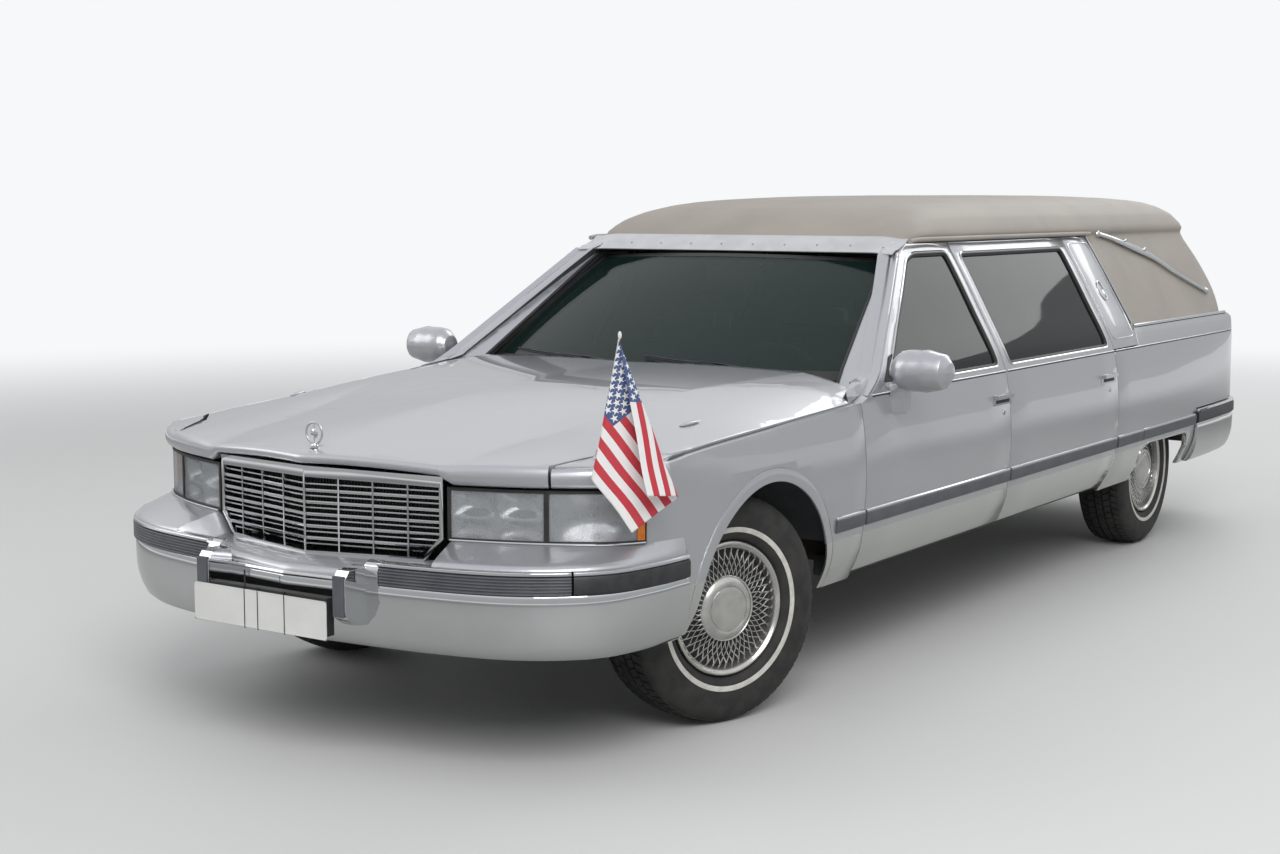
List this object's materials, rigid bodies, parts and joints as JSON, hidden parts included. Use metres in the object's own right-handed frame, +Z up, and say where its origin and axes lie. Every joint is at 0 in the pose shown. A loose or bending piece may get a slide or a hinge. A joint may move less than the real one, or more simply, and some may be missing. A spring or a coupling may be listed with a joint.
{
  "type": "hearse",
  "caption": "Long hearse with a raised padded roof, V-shaped grille, S-shaped side bars, rear loading door and rollered deck; wheels, steering, doors and hood move.",
  "frame": {"origin": "on the ground, under the middle of the car's bounding box", "axes": "+X to the car's left, +Y to the car's tail (the nose points to -Y), +Z up"},
  "size_m": [2.352, 6.072, 1.64],
  "materials": {
    "paint": "metallic gloss",
    "vinyl": "grained satin",
    "chrome": "mirror",
    "glass": "tinted",
    "lamp_glass": "ribbed clear",
    "lamp_red": "gloss",
    "trim": "satin",
    "upholstery": "matt",
    "deck": "matt",
    "underbody": "matt",
    "steel": "plain",
    "iron": "rough",
    "tyre": "matt with a white band",
    "flag": "woven"
  },
  "bodies": {
    "body": {"chassis_frame": "underbody", "floor_pan": "underbody", "body_frame": "paint", "front_fenders": "paint", "quarter_panels": "paint", "roof": "vinyl", "windshield": "glass", "dashboard": "trim", "front_seat": "upholstery", "load_deck": "deck", "front_bumper": "chrome", "front_fascia": "paint", "rear_bumper": "chrome", "grille": "chrome", "headlamps": "lamp_glass", "tail_lamps": "lamp_red", "landau_bars": "chrome", "wipers": "trim", "engine": "iron", "front_suspension": "iron", "rear_axle": "iron", "exhaust": "steel", "fuel_tank": "steel", "flag": "flag"},
    "hood_body": {"hood": "paint"},
    "front_door_left_body": {"front_door_left": "paint", "front_window_left": "glass"},
    "front_door_right_body": {"front_door_right": "paint", "front_window_right": "glass"},
    "rear_door_left_body": {"rear_door_left": "paint", "rear_window_left": "glass"},
    "rear_door_right_body": {"rear_door_right": "paint", "rear_window_right": "glass"},
    "loading_door_body": {"loading_door": "paint", "loading_window": "glass"},
    "steering_left_body": {"knuckle_left": "iron"},
    "steering_right_body": {"knuckle_right": "iron"},
    "front_left_wheel_body": {"front_tyre_left": "tyre", "front_wheel_left": "chrome"},
    "front_right_wheel_body": {"front_tyre_right": "tyre", "front_wheel_right": "chrome"},
    "rear_left_wheel_body": {"rear_tyre_left": "tyre", "rear_wheel_left": "chrome"},
    "rear_right_wheel_body": {"rear_tyre_right": "tyre", "rear_wheel_right": "chrome"}
  },
  "joints": [
    {"name": "steering_left", "type": "hinge", "parent": "body", "child": "steering_left_body", "pos_m": [0.69, -1.9, 0.357], "axis": [0, 0, 1], "range_deg": [-15.6, 54.4]},
    {"name": "steering_right", "type": "hinge", "parent": "body", "child": "steering_right_body", "pos_m": [-0.69, -1.9, 0.357], "axis": [0, 0, 1], "range_deg": [-15.6, 54.4]},
    {"name": "front_left_wheel_spin", "type": "hinge", "parent": "steering_left_body", "child": "front_left_wheel_body", "pos_m": [0.77819, -1.93106, 0.357], "axis": [0.9432, -0.3322, 0], "continuous": true},
    {"name": "front_right_wheel_spin", "type": "hinge", "parent": "steering_right_body", "child": "front_right_wheel_body", "pos_m": [-0.77819, -1.86894, 0.357], "axis": [0.9432, -0.3322, 0], "continuous": true},
    {"name": "rear_left_wheel_spin", "type": "hinge", "parent": "body", "child": "rear_left_wheel_body", "pos_m": [0.771, 1.783, 0.357], "axis": [1, 0, 0], "continuous": true},
    {"name": "rear_right_wheel_spin", "type": "hinge", "parent": "body", "child": "rear_right_wheel_body", "pos_m": [-0.771, 1.783, 0.357], "axis": [1, 0, 0], "continuous": true},
    {"name": "front_door_left_hinge", "type": "hinge", "parent": "body", "child": "front_door_left_body", "pos_m": [0.99, -1.285, 0.65], "axis": [0, 0, -1], "range_deg": [0, 68]},
    {"name": "front_door_right_hinge", "type": "hinge", "parent": "body", "child": "front_door_right_body", "pos_m": [-0.99, -1.285, 0.65], "axis": [0, 0, 1], "range_deg": [0, 68]},
    {"name": "rear_door_left_hinge", "type": "hinge", "parent": "body", "child": "rear_door_left_body", "pos_m": [0.99, -0.086, 0.65], "axis": [0, 0, -1], "range_deg": [0, 68]},
    {"name": "rear_door_right_hinge", "type": "hinge", "parent": "body", "child": "rear_door_right_body", "pos_m": [-0.99, -0.086, 0.65], "axis": [0, 0, 1], "range_deg": [0, 68]},
    {"name": "hood_hinge", "type": "hinge", "parent": "body", "child": "hood_body", "pos_m": [0, -1.15, 1.03], "axis": [-1, 0, 0], "range_deg": [0, 50]},
    {"name": "loading_door_hinge", "type": "hinge", "parent": "body", "child": "loading_door_body", "pos_m": [0.666, 2.945, 1.05], "axis": [0, 0, -1], "range_deg": [0, 100]}
  ],
  "couplings": [
    {"joint": "steering_right", "follows": "steering_left", "ratio": 1}
  ]
}
